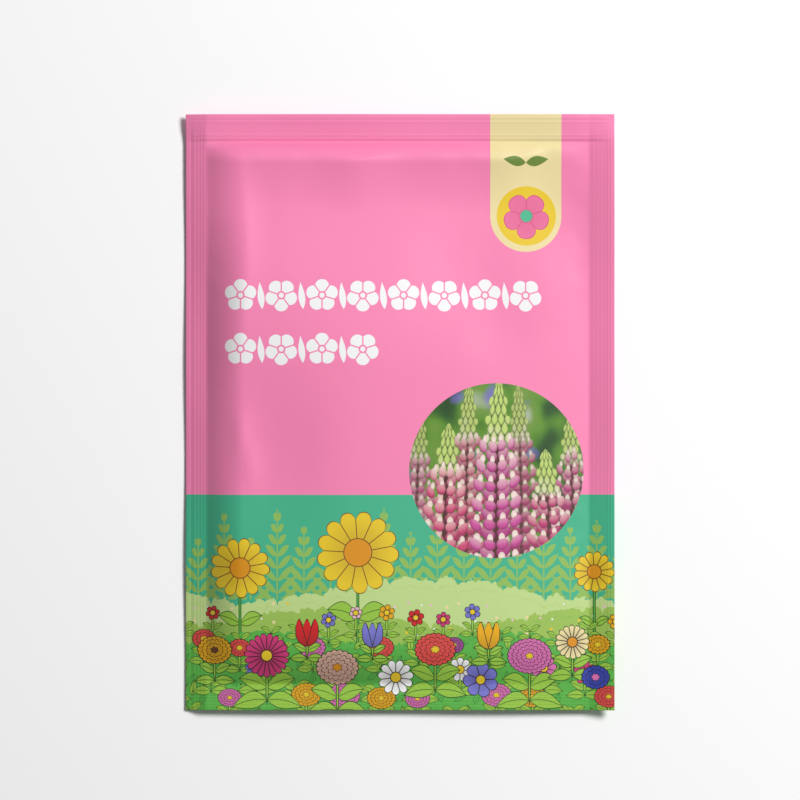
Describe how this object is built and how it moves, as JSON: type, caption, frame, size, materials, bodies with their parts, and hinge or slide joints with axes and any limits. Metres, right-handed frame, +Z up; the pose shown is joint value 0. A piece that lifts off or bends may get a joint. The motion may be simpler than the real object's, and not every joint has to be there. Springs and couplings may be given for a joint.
{
  "type": "seed packet",
  "caption": "Flat sachet of printed plastic film, heat-sealed along every edge, softly swollen in the middle and holding loose flower seeds.",
  "frame": {"origin": "under the middle of the packet, on the surface that it lies on", "axes": "+Y towards the packet's top edge, +X to the right as the printed front is read, +Z up out of the printed front"},
  "size_m": [0.1, 0.139, 0.0084],
  "materials": {
    "front_print": "satin",
    "back_print": "satin",
    "seed": "satin"
  },
  "bodies": {
    "root": {"front_film": "front_print", "back_film": "back_print", "seed_01": "seed", "seed_02": "seed", "seed_03": "seed", "seed_04": "seed", "seed_05": "seed", "seed_06": "seed", "seed_07": "seed", "seed_08": "seed", "seed_09": "seed", "seed_10": "seed", "seed_11": "seed", "seed_12": "seed", "seed_13": "seed", "seed_14": "seed", "seed_15": "seed", "seed_16": "seed", "seed_17": "seed", "seed_18": "seed", "seed_19": "seed", "seed_20": "seed", "seed_21": "seed", "seed_22": "seed", "seed_23": "seed", "seed_24": "seed"}
  },
  "joints": []
}
